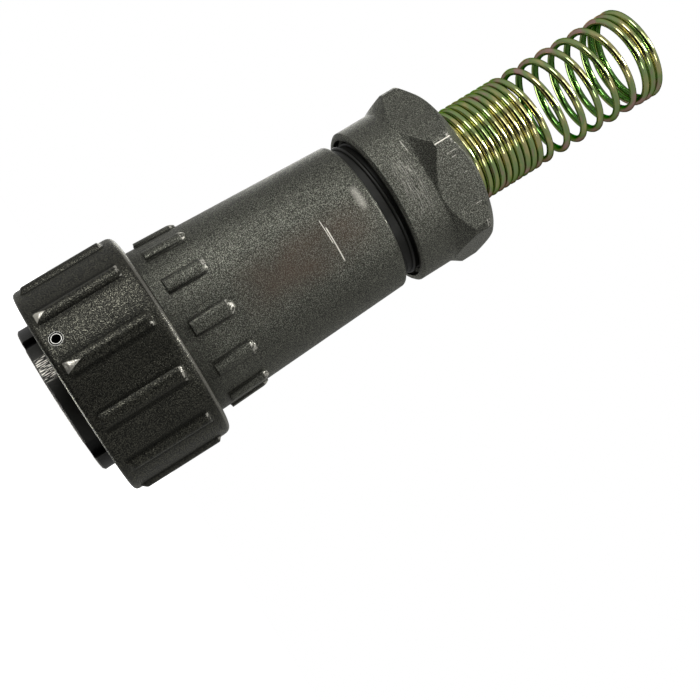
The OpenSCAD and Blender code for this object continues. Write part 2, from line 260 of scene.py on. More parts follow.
def wire_tree():
    """Round wire along an edge chain."""
    tree, given, out = tree_with("wire_along_path", [
        ("Wire Diameter", "NodeSocketFloat"), ("Sides", "NodeSocketInt"), ("Material", "NodeSocketMaterial")])
    curve = add(tree, "GeometryNodeMeshToCurve", {"Mesh": given["Geometry"]})
    half = add(tree, "ShaderNodeMath", {0: given["Wire Diameter"], 1: 0.5}, operation="MULTIPLY")
    ring = add(tree, "GeometryNodeCurvePrimitiveCircle", {"Resolution": given["Sides"], "Radius": half.outputs[0]})
    wire = add(tree, "GeometryNodeCurveToMesh", {
        "Curve": curve.outputs[0], "Profile Curve": ring.outputs["Curve"], "Fill Caps": True})
    smooth = add(tree, "GeometryNodeSetShadeSmooth", {"Geometry": wire.outputs[0]})
    real = add(tree, "GeometryNodeRealizeInstances", {"Geometry": smooth.outputs[0]})
    done = add(tree, "GeometryNodeSetMaterial", {"Geometry": real.outputs[0], "Material": given["Material"]})
    tree.links.new(done.outputs[0], out.inputs[0])
    return tree


def crown_tree():
    """Copies of one shape turned about the axis."""
    tree, given, out = tree_with("crown_of_copies", [
        ("Count", "NodeSocketInt"), ("Start Angle", "NodeSocketFloat"), ("Material", "NodeSocketMaterial")])
    points = add(tree, "GeometryNodePoints", {"Count": given["Count"]})
    index = add(tree, "GeometryNodeInputIndex")
    pitch = add(tree, "ShaderNodeMath", {0: TURN, 1: given["Count"]}, operation="DIVIDE")
    angle = add(tree, "ShaderNodeMath", {
        0: index.outputs[0], 1: pitch.outputs[0], 2: given["Start Angle"]}, operation="MULTIPLY_ADD")
    turn = add(tree, "ShaderNodeCombineXYZ", {"Z": angle.outputs[0]})
    copies = add(tree, "GeometryNodeInstanceOnPoints", {
        "Points": points.outputs[0], "Instance": given["Geometry"], "Rotation": turn.outputs[0]})
    real = add(tree, "GeometryNodeRealizeInstances", {"Geometry": copies.outputs[0]})
    done = add(tree, "GeometryNodeSetMaterial", {"Geometry": real.outputs[0], "Material": given["Material"]})
    tree.links.new(done.outputs[0], out.inputs[0])
    return tree


# Masks that say where a finish wears, is tinted and dirty, and where it carries painted shade and painted highlights


def linear(code):
    """sRGB hex colour as the linear colour that shaders take."""
    parts = [int(code[i:i + 2], 16) / 255 for i in (1, 3, 5)]
    return [c / 12.92 if c <= 0.04045 else ((c + 0.055) / 1.055) ** 2.4 for c in parts] + [1.0]


def per_metre(size):
    """Texture scale for a pattern whose spots are size wide."""
    return 1 / (size * MM)


def polar(tree, place):
    """Radius and height of a point, and its angle about the axis in radians."""
    mm = add(tree, "ShaderNodeVectorMath", {0: place, 1: (1 / MM,) * 3}, operation="MULTIPLY").outputs[0]
    flat = add(tree, "ShaderNodeVectorMath", {0: mm, 1: (1, 1, 0)}, operation="MULTIPLY").outputs[0]
    radius = add(tree, "ShaderNodeVectorMath", {0: flat}, operation="LENGTH").outputs["Value"]
    axes = add(tree, "ShaderNodeSeparateXYZ", {0: mm}).outputs
    angle = add(tree, "ShaderNodeMath", {0: axes["Y"], 1: axes["X"]}, operation="ARCTAN2").outputs[0]
    return radius, axes["Z"], angle


def any_of(tree, *masks):
    """The strongest of several masks."""
    most = masks[0]
    for mask in masks[1:]:
        most = add(tree, "ShaderNodeMath", {0: most, 1: mask}, operation="MAXIMUM").outputs[0]
    return most


def all_of(tree, *masks):
    """Where all of several masks are. A plain number among them weakens the result."""
    left = masks[0]
    for mask in masks[1:]:
        left = add(tree, "ShaderNodeMath", {0: left, 1: mask}, operation="MULTIPLY").outputs[0]
    return left


def band(tree, value, low, high, soft):
    """1 between low and high, fading over soft at both ends."""
    up = add(tree, "ShaderNodeMapRange", {"Value": value, 1: low - soft, 2: low}).outputs[0]
    down = add(tree, "ShaderNodeMapRange", {"Value": value, 1: high, 2: high + soft, 3: 1.0, 4: 0.0}).outputs[0]
    return all_of(tree, up, down)


def sector(tree, angle, start, end, soft):
    """1 between two angles in degrees, fading over soft radians at both ends."""
    return band(tree, angle, math.radians(start), math.radians(end), soft)


def mark(tree, height, angle, low, high, start, end):
    """A scratch between two heights and two angles in degrees, soft at its edges."""
    fade = 0.4
    tall = band(tree, height, low, high, fade * min(high - low, 0.5))
    return all_of(tree, tall, sector(tree, angle, start, end, fade * min(math.radians(end - start), 0.08)))


def broken(tree, place, mask, size, cut):
    """A mask broken up into chips of about size."""
    chips = add(tree, "ShaderNodeTexNoise", {"Vector": place, "Scale": per_metre(size), "Detail": 3.0}).outputs["Fac"]
    sharp = add(tree, "ShaderNodeMapRange", {"Value": chips, 1: cut - 0.03, 2: cut + 0.03}).outputs[0]
    return all_of(tree, mask, sharp)


def ring_wear_and_highlights(tree, place):
    """Two facets at the front ends of the ribs beside a pin, painted in bright bare metal colour as painted
    highlights, painted glints at the ribs' rear ends, specks along one crest and a painted highlight along the rear
    edge."""
    radius, height, angle = polar(tree, place)
    crest_radius, rib_front = 17.2, 3.3
    proud = add(tree, "ShaderNodeMapRange", {"Value": radius, 1: 16.95, 2: 17.05}).outputs[0]
    highlight_knocks = []
    # Painted highlights: two rib front facets in bright bare metal colour, where the lamp's reflection falls
    for rib, wide, long in ((-85, 2.2, 2.1), (-55, 2.0, 2.8)):
        off = add(tree, "ShaderNodeMath", {0: angle, 1: math.radians(-rib)}, operation="ADD").outputs[0]
        side = add(tree, "ShaderNodeMath", {0: off}, operation="ABSOLUTE").outputs[0]
        edge = add(tree, "ShaderNodeMapRange", {
            "Value": height, 1: rib_front, 2: rib_front + long, 3: wide / 2 / crest_radius, 4: 0.0}).outputs[0]
        room = add(tree, "ShaderNodeMath", {0: edge, 1: side}, operation="SUBTRACT").outputs[0]
        highlight_knocks.append(add(tree, "ShaderNodeMapRange", {"Value": room, 1: 0.0, 2: 0.01}).outputs[0])
    front = all_of(tree, any_of(tree, *highlight_knocks), band(tree, height, rib_front, 6.0, 0.05))
    # Painted highlights: broken glints at the ribs' rear ends
    rear = broken(tree, place, band(tree, height, 16.3, 16.6, 0.1), 0.7, 0.5)
    ends = all_of(tree, proud, any_of(tree, front, all_of(tree, rear, 0.3)))
    specks = broken(tree, place, mark(tree, height, angle, 3.6, 9.5, -117.5, -116.6), 0.3, 0.5)
    # Painted highlight: a thin bright line along the ring's rear edge
    edge = add(tree, "ShaderNodeMapRange", {"Value": radius, 1: 15.5, 2: 15.6, 3: 0.0, 4: 0.09}).outputs[0]
    rubbed = all_of(tree, band(tree, height, 18.3, 18.55, 0.15), edge)
    return any_of(tree, ends, all_of(tree, proud, specks, 0.6), rubbed)


def rib_foot_shade_and_dirt(tree, place, start, low, high, inner, outer):
    """Painted shade, with some dirt, along the feet of the ribs round a casting, between two heights. The first rib is
    at start, and the feet lie between two angles in degrees from each rib's middle."""
    _, height, angle = polar(tree, place)
    half_pitch = math.pi / bpy.context.scene.plug_sizes.rib_count
    turned = add(tree, "ShaderNodeMath", {0: angle, 1: -start}, operation="ADD").outputs[0]
    off = add(tree, "ShaderNodeMath", {0: turned, 1: half_pitch}, operation="PINGPONG").outputs[0]
    # Painted shade, with some dirt, in a band beside each rib
    return all_of(tree, sector(tree, off, inner, outer, math.radians(1.0)), band(tree, height, low, high, 0.4))


def ring_shade_and_dirt(tree, place):
    """Painted shade and dirt at the feet of the coupling ring's ribs."""
    return rib_foot_shade_and_dirt(tree, place, RING_RIB_START, 3.8, 16.4, 4.2, 5.8)


def body_shade_and_dirt(tree, place):
    """Painted shade and dirt at the feet of the body's ribs and where the body goes into the coupling ring."""
    _, height, _ = polar(tree, place)
    # Painted shade, with some dirt: the body darkens towards the coupling ring
    under_ring = add(tree, "ShaderNodeMapRange", {"Value": height, 1: 19.0, 2: 24.5, 3: 0.6, 4: 0.0}).outputs[0]
    return any_of(tree, rib_foot_shade_and_dirt(tree, place, BODY_RIB_START, 20.9, 26.6, 5.1, 5.9), under_ring)


def body_wear_and_highlights(tree, place):
    """Two scratches side by side round the body, a painted highlight on its rear edge, and painted highlights in bare
    metal colour on the ribs' rear ends.
    """
    radius, height, angle = polar(tree, place)
    # Painted highlight: a soft bright band on the rear fillet
    fillet_highlight = all_of(tree, band(tree, height, 50.9, 51.3, 0.6), sector(tree, angle, -61, -51, 0.1), 0.28)
    lines = any_of(tree, mark(tree, height, angle, 44.28, 44.36, -55, -40),
                   mark(tree, height, angle, 44.54, 44.66, -49, -26))
    scratches = all_of(tree, broken(tree, place, lines, 0.6, 0.36), 0.8)
    # Painted highlights: the ribs' rounded rear ends in bright bare metal colour
    proud = add(tree, "ShaderNodeMapRange", {"Value": radius, 1: 13.45, 2: 13.6, 3: 0.0, 4: 0.5}).outputs[0]
    highlight_knocks = broken(tree, place, all_of(tree, proud, band(tree, height, 26.8, 27.4, 0.15)), 0.5, 0.5)
    return any_of(tree, scratches, fillet_highlight, highlight_knocks)


def body_brown_tint(tree, place):
    """A brownish tint in a patch along the body."""
    _, height, angle = polar(tree, place)
    patch = all_of(tree, band(tree, height, 34, 47, 6), sector(tree, angle, -46, -34, 0.3))
    cloud = add(tree, "ShaderNodeTexNoise", {"Vector": place, "Scale": per_metre(6), "Detail": 2.0}).outputs["Fac"]
    uneven = add(tree, "ShaderNodeMapRange", {"Value": cloud, 1: 0.35, 2: 0.65, 3: 0.2, 4: 0.5}).outputs[0]
    return all_of(tree, patch, uneven)


def nut_wear_and_highlight(tree, place):
    """Bright nicks on the six corners, a painted highlight in bare metal colour along one corner's edge with short
    scratches on the flat beside it, and fine scuffs round the skirt."""
    radius, height, angle = polar(tree, place)
    corner = add(tree, "ShaderNodeMapRange", {"Value": radius, 1: 14.45, 2: 14.55}).outputs[0]
    nicks = broken(tree, place, all_of(tree, corner, band(tree, height, 66.35, 66.9, 0.1)), 0.5, 0.52)
    drawn = add(tree, "ShaderNodeMapping", {"Vector": place, "Scale": (0.06, 0.06, 1)}).outputs[0]
    patch = all_of(tree, band(tree, height, 58.2, 59.6, 1.4), sector(tree, angle, -52, -38, 0.3))
    scuffs = all_of(tree, broken(tree, drawn, patch, 0.12, 0.54), 0.25)
    lines = [mark(tree, height, angle, *at) for at in (
        (60.85, 60.95, -73, -66), (65.2, 66.6, -49.3, -49.0), (65.6, 66.2, -46.2, -45.9),
        (66.3, 66.7, -34, -33.7), (66.0, 66.8, -12.3, -12.0))]
    scratches = broken(tree, place, any_of(tree, *lines), 0.35, 0.44)
    dull = all_of(tree, any_of(tree, nicks, scratches), 0.5)
    # Painted highlight: a bright line along one corner's edge, in bare metal colour
    edge = broken(tree, place, mark(tree, height, angle, 64.2, 66.8, -57.3, -56.8), 0.5, 0.4)
    return any_of(tree, scuffs, dull, edge)


# Finishes


def new_finish(name, same_all_over=None):
    """Finish with its node tree, its shader, and the place of a point on the piece."""
    finish = bpy.data.materials.new(name)
    finish.use_nodes = True
    tree = finish.node_tree
    tree.nodes.clear()
    shader = add(tree, "ShaderNodeBsdfPrincipled", same_all_over)
    add(tree, "ShaderNodeOutputMaterial", {"Surface": shader.outputs[0]})
    return finish, tree, shader, add(tree, "ShaderNodeTexCoord").outputs["Object"]


def cast_paint(name, dark, light, grain, rough, shine, wear_and_highlights, tinted=None, shade_and_dirt=None):
    """Stoved metallic paint on a sand casting: a dark film full of fine flakes over a grainy skin. The eye sees a salt
    and pepper sparkle where light falls, a soft sheen, and bright metal where it has chipped and where highlights are
    painted; painted shade with dirt can darken the film."""
    finish, tree, shader, place = new_finish(name, {
        "Specular IOR Level": shine, "Specular Tint": linear("#fffff0")})
    # The real grain is finer, and would not show at this picture size
    grit = add(tree, "ShaderNodeTexNoise", {
        "Vector": place, "Scale": per_metre(grain), "Detail": 1.0, "Roughness": 0.6}).outputs["Fac"]
    glint = add(tree, "ShaderNodeMapRange", {"Value": grit, 1: 0.48, 2: 0.66}).outputs[0]
    flake = add(tree, "ShaderNodeMix", {"Factor": glint, 6: dark, 7: light}, data_type="RGBA").outputs[2]
    cloud = add(tree, "ShaderNodeTexNoise", {"Vector": place, "Scale": per_metre(9), "Detail": 3.0}).outputs["Fac"]
    shade = add(tree, "ShaderNodeMapRange", {"Value": cloud, 1: 0.3, 2: 0.7, 3: 0.85, 4: 1.12}).outputs[0]
    film = add(tree, "ShaderNodeVectorMath", {0: flake, 1: shade}, operation="MULTIPLY").outputs[0]
    if tinted:
        film = add(tree, "ShaderNodeMix", {
            "Factor": tinted(tree, place), 6: film, 7: linear("#4a372c")}, data_type="RGBA").outputs[2]
    # Painted shade, with some dirt, darkens the film where the mask is
    if shade_and_dirt:
        left = add(tree, "ShaderNodeMapRange", {"Value": shade_and_dirt(tree, place), 3: 1.0, 4: 0.32}).outputs[0]
        film = add(tree, "ShaderNodeVectorMath", {0: film, 1: left}, operation="MULTIPLY").outputs[0]
    # Bright metal where the paint has chipped, and painted highlights in the same colour
    bare = wear_and_highlights(tree, place)
    skin = add(tree, "ShaderNodeMix", {"Factor": bare, 6: film, 7: linear(BARE_METAL_AND_HIGHLIGHT)}, data_type="RGBA")
    tree.links.new(skin.outputs[2], shader.inputs["Base Color"])
    tree.links.new(any_of(tree, glint, bare), shader.inputs["Metallic"])
    sheen = add(tree, "ShaderNodeMapRange", {"Value": grit, 1: 0.35, 2: 0.65, 3: rough + 0.1, 4: rough - 0.1})
    gloss = add(tree, "ShaderNodeMix", {"Factor": bare, 2: sheen.outputs[0], 3: 0.38})
    tree.links.new(gloss.outputs[0], shader.inputs["Roughness"])
    bump = add(tree, "ShaderNodeBump", {"Height": grit, "Strength": 0.6, "Distance": 0.1 * MM})
    tree.links.new(bump.outputs[0], shader.inputs["Normal"])
    return finish


def cut_thread(name):
    """Bare cut thread: dark, with a dull gloss."""
    finish, tree, shader, place = new_finish(name, {"Base Color": linear("#1d1d19"), "Metallic": 0.4})
    film = add(tree, "ShaderNodeTexNoise", {"Vector": place, "Scale": per_metre(1.2), "Detail": 3.0}).outputs["Fac"]
    gloss = add(tree, "ShaderNodeMapRange", {"Value": film, 3: 0.35, 4: 0.6})
    tree.links.new(gloss.outputs[0], shader.inputs["Roughness"])
    return finish


def shell_metal(name):
    """Black coating on turned aluminium, rubbed through to sandy bare metal on the rim and bright along its edge. Fine
    bright lines in one sector along the outside are painted highlights."""
    finish, tree, shader, place = new_finish(name, {"Metallic": 0.5, "Roughness": 0.42})
    radius, height, angle = polar(tree, place)
    bright = linear(BARE_METAL_AND_HIGHLIGHT)
    outside = add(tree, "ShaderNodeMapRange", {"Value": radius, 1: 11.5, 2: 11.7}).outputs[0]
    coat = add(tree, "ShaderNodeMix", {
        "Factor": outside, 6: linear("#0d0d0c"), 7: linear("#2a2a26")}, data_type="RGBA").outputs[2]
    # A pattern of the way round the barrel in metres, and drawn out ten times along it
    way_round = add(tree, "ShaderNodeMath", {0: angle, 1: BARREL_RADIUS * MM}, operation="MULTIPLY").outputs[0]
    along = add(tree, "ShaderNodeMath", {0: height, 1: 0.1 * MM}, operation="MULTIPLY").outputs[0]
    drawn = add(tree, "ShaderNodeCombineXYZ", {"X": way_round, "Z": along}).outputs[0]
    # Painted highlights: fine bright lines in one sector of the barrel's outside
    glint_strokes = all_of(tree, outside, mark(tree, height, angle, 0.3, 2.6, -77, -60))
    side = add(tree, "ShaderNodeMix", {
        "Factor": broken(tree, drawn, glint_strokes, 0.14, 0.54), 6: coat, 7: bright}, data_type="RGBA").outputs[2]
    grit = add(tree, "ShaderNodeTexNoise", {"Vector": place, "Scale": per_metre(0.3), "Detail": 3.0}).outputs["Fac"]
    sandy = add(tree, "ShaderNodeValToRGB", {"Fac": grit}, stops=(
        (0.35, linear("#5a554d")), (0.7, linear("#bdb6aa")))).outputs[0]
    edge = add(tree, "ShaderNodeMapRange", {"Value": radius, 1: 11.5, 2: 11.62, 3: 0.0, 4: 0.8}).outputs[0]
    face = add(tree, "ShaderNodeMix", {
        "Factor": broken(tree, place, edge, 0.5, 0.42), 6: sandy, 7: bright}, data_type="RGBA").outputs[2]
    rim = add(tree, "ShaderNodeMapRange", {"Value": height, 1: 0.1, 2: 0.03}).outputs[0]
    skin = add(tree, "ShaderNodeMix", {"Factor": rim, 6: side, 7: face}, data_type="RGBA")
    tree.links.new(skin.outputs[2], shader.inputs["Base Color"])
    bump = add(tree, "ShaderNodeBump", {"Height": grit, "Strength": 0.4, "Distance": 0.1 * MM})
    tree.links.new(bump.outputs[0], shader.inputs["Normal"])
    return finish


def zinc_wire(name):
    """Yellow passivated zinc on steel wire: a thin film whose colour is painted by the side of the coil that faces the
    camera, gold there over green to pink at the edges, a painted reflection colour. Inside the coil it is a deeper,
    darker green: partly the film's colour and partly painted shade."""
    finish, tree, shader, place = new_finish(name, {
        "Metallic": 1.0, "Roughness": 0.14, "Specular Tint": linear("#55683f")})
    radius, _, angle = polar(tree, place)
    # The film's colour follows the angle round the axis from the side that faces the camera: gold facing it, pink at
    # the edges, a painted reflection colour
    turned = add(tree, "ShaderNodeMath", {0: angle, 1: math.radians(44)}, operation="ADD").outputs[0]
    swing = add(tree, "ShaderNodeMath", {0: turned}, operation="COSINE").outputs[0]
    side = add(tree, "ShaderNodeMath", {0: swing}, operation="ABSOLUTE").outputs[0]
    tone = add(tree, "ShaderNodeMapRange", {"Value": side, 3: 0.7, 4: 0.38}).outputs[0]
    # Each turn hung a little differently in the bath
    by_turn = add(tree, "ShaderNodeMapping", {"Vector": place, "Scale": (1, 1, 3)}).outputs[0]
    drift = add(tree, "ShaderNodeTexNoise", {"Vector": by_turn, "Scale": per_metre(4), "Detail": 2.0}).outputs["Fac"]
    uneven = add(tree, "ShaderNodeMapRange", {"Value": drift, 1: 0.3, 2: 0.7, 3: -0.18, 4: 0.18}).outputs[0]
    facing_tone_and_drift = add(tree, "ShaderNodeMath", {0: tone, 1: uneven}, operation="ADD").outputs[0]
    film = add(tree, "ShaderNodeValToRGB", {"Fac": facing_tone_and_drift}, stops=(
        (0.34, linear("#d8d194")), (0.43, linear("#bcc786")), (0.53, linear("#a6c283")),
        (0.61, linear("#bcb892")), (0.70, linear("#d8b4aa")))).outputs[0]
    # Painted shade: the inside of the coil is a darker green
    inside = add(tree, "ShaderNodeMapRange", {"Value": radius, 1: 6.95, 2: 7.3, 3: 1.0, 4: 0.0}).outputs[0]
    skin = add(tree, "ShaderNodeMix", {"Factor": inside, 6: film, 7: linear("#6a954e")}, data_type="RGBA")
    tree.links.new(skin.outputs[2], shader.inputs["Base Color"])
    return finish


def gold_plate(name):
    """Gold plating on turned brass, bright at the tip and painted dark at the foot of each pin, as painted shade where
    it stands in the insert's face.
    """
    finish, tree, shader, place = new_finish(name, {"Metallic": 1.0, "Roughness": 0.2})
    _, height, _ = polar(tree, place)
    # Painted shade at the foot of each pin, where it stands in the insert's face
    foot = add(tree, "ShaderNodeMapRange", {"Value": height, 1: 9.3, 2: 9.95}).outputs[0]
    skin = add(tree, "ShaderNodeMix", {
        "Factor": foot, 6: linear("#d9ae55"), 7: linear("#2a2214")}, data_type="RGBA")
    tree.links.new(skin.outputs[2], shader.inputs["Base Color"])
    return finish


def insert_plastic(name, dark, light):
    """Moulded blue thermoset: satin, with fine drag marks across the face."""
    finish, tree, shader, place = new_finish(name, {"Roughness": 0.42})
    drawn = add(tree, "ShaderNodeMapping", {"Vector": place, "Scale": (0.12, 1, 1)}).outputs[0]
    marks = add(tree, "ShaderNodeTexNoise", {"Vector": drawn, "Scale": per_metre(0.35), "Detail": 2.0}).outputs["Fac"]
    tone = add(tree, "ShaderNodeValToRGB", {"Fac": marks}, stops=((0.3, dark), (0.75, light)))
    tree.links.new(tone.outputs[0], shader.inputs["Base Color"])
    bump = add(tree, "ShaderNodeBump", {"Height": marks, "Strength": 0.2, "Distance": 0.05 * MM})
    tree.links.new(bump.outputs[0], shader.inputs["Normal"])
    return finish


def washer_steel(name):
    """Plain sheet steel, bright with a faint grain from rolling."""
    finish, tree, shader, place = new_finish(name, {"Base Color": linear("#a9a8a2"), "Metallic": 1.0})
    grain = add(tree, "ShaderNodeTexNoise", {"Vector": place, "Scale": per_metre(0.4), "Detail": 2.0}).outputs["Fac"]
    gloss = add(tree, "ShaderNodeMapRange", {"Value": grain, 3: 0.27, 4: 0.45})
    tree.links.new(gloss.outputs[0], shader.inputs["Roughness"])
    return finish


def pin_steel(name):
    """Bright rivet steel, painted black in the hollow end and in the groove round its lip as painted shade."""
    finish, tree, shader, place = new_finish(name, {"Metallic": 0.9})
    radius, _, _ = polar(tree, place)
    # Painted shade: the hollow end and the groove round the lip are black
    hollow = band(tree, radius, 14.68, 16.72, 0.03)
    skin = add(tree, "ShaderNodeMix", {
        "Factor": hollow, 6: linear("#b5b4ae"), 7: linear("#070707")}, data_type="RGBA")
    tree.links.new(skin.outputs[2], shader.inputs["Base Color"])
    gloss = add(tree, "ShaderNodeMapRange", {"Value": hollow, 3: 0.38, 4: 0.8})
    tree.links.new(gloss.outputs[0], shader.inputs["Roughness"])
    return finish


def black_rubber(name):
    """Moulded black rubber: matt, with a faint bloom."""
    finish, tree, shader, place = new_finish(name, {"Roughness": 0.7})
    bloom = add(tree, "ShaderNodeTexNoise", {"Vector": place, "Scale": per_metre(1.5), "Detail": 3.0}).outputs["Fac"]
    tone = add(tree, "ShaderNodeValToRGB", {"Fac": bloom}, stops=((0, linear("#0c0c0c")), (1, linear("#1d1d1c"))))
    tree.links.new(tone.outputs[0], shader.inputs["Base Color"])
    return finish


FINISHES = {}


def finish_for(slot):
    """The finish of one of the record's material slots, or of the thread or the numbers, made once."""
    shades = bpy.context.scene.plug_colours
    makers = {
        "ring_coat": lambda: cast_paint(
            "painted_cast_aluminium_ring", shades.ring_paint, shades.ring_flake,
            grain=0.17, rough=0.3, shine=0.22, wear_and_highlights=ring_wear_and_highlights, shade_and_dirt=ring_shade_and_dirt),
        "body_coat": lambda: cast_paint(
            "painted_cast_aluminium_body", shades.body_paint, shades.body_flake,
            grain=0.14, rough=0.38, shine=0.35, wear_and_highlights=body_wear_and_highlights, tinted=body_brown_tint, shade_and_dirt=body_shade_and_dirt),
        "nut_coat": lambda: cast_paint(
            "painted_cast_aluminium_nut", shades.nut_paint, shades.nut_flake,
            grain=0.15, rough=0.4, shine=0.4, wear_and_highlights=nut_wear_and_highlight),
        "shell_metal": lambda: shell_metal("coated_turned_aluminium"),
        "spring_zinc": lambda: zinc_wire("yellow_passivated_zinc"),
        "contact_gold": lambda: gold_plate("gold_plated_brass"),
        "insert_blue": lambda: insert_plastic("blue_moulded_thermoset", shades.insert_blue, shades.insert_mark),
        "pin_steel": lambda: pin_steel("bright_rivet_steel"),
        "washer_steel": lambda: washer_steel("plain_washer_steel"),
        "seal_rubber": lambda: black_rubber("black_moulded_rubber"),
        # The numbers' lines are a darker blue than the face: painted shade along the raised lines
        "number": lambda: insert_plastic("blue_moulded_thermoset_lines", linear("#0a1329"), linear("#16254a")),
        "thread": lambda: cut_thread("dark_cut_thread"),
    }
    if slot not in FINISHES:
        FINISHES[slot] = makers[slot]()
    return FINISHES[slot]


def dressed(piece, body, slot, *nodes):
    """Gives a new piece its finish and its place in the frame."""
    piece.data.materials.clear()
    piece.data.materials.append(finish_for(slot))
    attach(piece, body)
    if nodes:
        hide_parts(*nodes)


# What a user would change


class PlugSizes(bpy.types.PropertyGroup):
    """Sizes of the plug's details"""
    rib_count: bpy.props.IntProperty(
        name="Ribs", description="Grip ribs round the coupling ring and round the body", default=12, min=3)
    ring_rib_height: bpy.props.FloatProperty(
        name="Grip rib height", description="How far the coupling ring's ribs stand out",
        default=0.00065, unit="LENGTH", subtype="DISTANCE")
    body_rib_height: bpy.props.FloatProperty(
        name="Body rib height", description="How far the body's ribs stand out",
        default=0.00072, unit="LENGTH", subtype="DISTANCE")
    wire_diameter: bpy.props.FloatProperty(
        name="Spring wire", description="Thickness of the strain relief's wire",
        default=0.00114, unit="LENGTH", subtype="DISTANCE")
    thread_pitch: bpy.props.FloatProperty(
        name="Gland thread pitch", description="Advance of the gland nut in one turn",
        default=0.0015, unit="LENGTH", subtype="DISTANCE")
    number_height: bpy.props.FloatProperty(
        name="Number height", description="Height of the contact numbers on the insert",
        default=0.0024, unit="LENGTH", subtype="DISTANCE")


class PlugColours(bpy.types.PropertyGroup):
    """Colours of the plug's paint and plastic"""
    # Darker than the body's and the nut's film: painted shade toward the mating end
    ring_paint: bpy.props.FloatVectorProperty(
        name="Ring paint", description="Film of paint on the coupling ring",
        default=linear("#0a0a09"), size=4, subtype="COLOR", min=0, max=1)
    ring_flake: bpy.props.FloatVectorProperty(
        name="Ring flake", description="Flakes in the coupling ring's paint",
        default=linear("#605f55"), size=4, subtype="COLOR", min=0, max=1)
    body_paint: bpy.props.FloatVectorProperty(
        name="Body paint", description="Film of paint on the rear body",
        default=linear("#1c1c19"), size=4, subtype="COLOR", min=0, max=1)
    body_flake: bpy.props.FloatVectorProperty(
        name="Body flake", description="Flakes in the rear body's paint",
        default=linear("#88897d"), size=4, subtype="COLOR", min=0, max=1)
    nut_paint: bpy.props.FloatVectorProperty(
        name="Nut paint", description="Film of paint on the gland nut",
        default=linear("#262622"), size=4, subtype="COLOR", min=0, max=1)
    nut_flake: bpy.props.FloatVectorProperty(
        name="Nut flake", description="Flakes in the gland nut's paint",
        default=linear("#8b8c80"), size=4, subtype="COLOR", min=0, max=1)
    insert_blue: bpy.props.FloatVectorProperty(
        name="Insert", description="Plastic of the contact insert",
        default=linear("#14223f"), size=4, subtype="COLOR", min=0, max=1)
    insert_mark: bpy.props.FloatVectorProperty(
        name="Insert marks", description="Drag marks on the contact insert",
        default=linear("#22365c"), size=4, subtype="COLOR", min=0, max=1)


# Operators


class PLUG_OT_node_finishes(bpy.types.Operator):
    """Finishes on the frame's own pieces"""
    bl_idname = "plug.node_finishes"
    bl_label = "Finishes of the frame"

    def execute(self, context):
        for part in frame["record"]["subparts"]:
            node = frame["nodes"][part["node"]]
            for slot in node.material_slots:
                slot.material = finish_for(part["material_slot"])
        return {"FINISHED"}


class PLUG_OT_coupling_ring(bpy.types.Operator):
    """Coupling ring: a casting with soft grip ribs and three pin holes"""
    bl_idname = "plug.coupling_ring"
    bl_label = "Coupling ring"

    def execute(self, context):
        sizes = context.scene.plug_sizes
        high = sizes.ring_rib_height / MM
        pitch = TURN / sizes.rib_count
        valley, mouth, bore, recess, collar = 16.85, 15.0, 14.6, 13.95, 12.45
        front, rear, collar_front, collar_rear = 2.2, 18.85, 14.4, 17.45
        front_round, rear_round = 1.2, 2.0
        outline = rounded([
            (mouth, front, 0.1), (valley, front, front_round), (valley, rear, rear_round),
            (recess, rear, 0.25), (recess, collar_rear, 0), (collar, collar_rear, 0.1),
            (collar, collar_front, 0.1), (bore, collar_front, 0), (bore, front + mouth - bore, 0.1)], steps=7)
        outline = close_set(outline, 0.22, valley - 0.1)
        half_foot, half_crest = math.radians(5.3), math.radians(3)
        crest_drop, end_height, front_slope, rear_slope = 0.3, 0.75, 0.8, 0.6

        def relief(angle, r, z):
            if r < valley - 0.06:
                return r
            off = off_centre(angle, RING_RIB_START, pitch)
            flank = (half_foot - abs(off)) * valley
            crest = high - crest_drop * (off / half_crest) ** 2
            rib = soft_min(soft_max(flank, 0.0, 0.3), max(crest, 0.0), 0.2)
            ends = end_height * min((z - front - front_round) / front_slope, (rear - rear_round - z) / rear_slope)
            return r + max(soft_min(rib, ends, 0.12), 0.0)

        piece = spun("coupling_ring_casting", outline, 576, relief)
        hole_radius, hole_reach, hole_depth = 1.07 * MM, 15.5 * MM, 6 * MM
        drills = []
        for k in range(PIN_COUNT):
            turn = Matrix.Rotation(FIRST_PIN + TURN * k / PIN_COUNT, 4, "Z")
            lie_down = Matrix.Rotation(math.pi / 2, 4, "Y")
            drill = bmesh.new()
            bmesh.ops.create_cone(
                drill, cap_ends=True, segments=48, radius1=hole_radius, radius2=hole_radius, depth=hole_depth,
                matrix=turn @ Matrix.Translation((hole_reach, 0, PIN_HEIGHT * MM)) @ lie_down)
            mesh = bpy.data.meshes.new("pin_drill")
            drill.to_mesh(mesh)
            drill.free()
            cutter = placed("pin_drill", mesh)
            cut = piece.modifiers.new("pin_hole", "BOOLEAN")
            cut.object, cut.operation, cut.solver = cutter, "DIFFERENCE", "EXACT"
            drills.append(cutter)
        baked(piece)
        smoothed(piece.data)
        for cutter in drills:
            bpy.data.objects.remove(cutter)
        dressed(piece, "ring", "ring_coat", "coupling_ring")
        return {"FINISHED"}


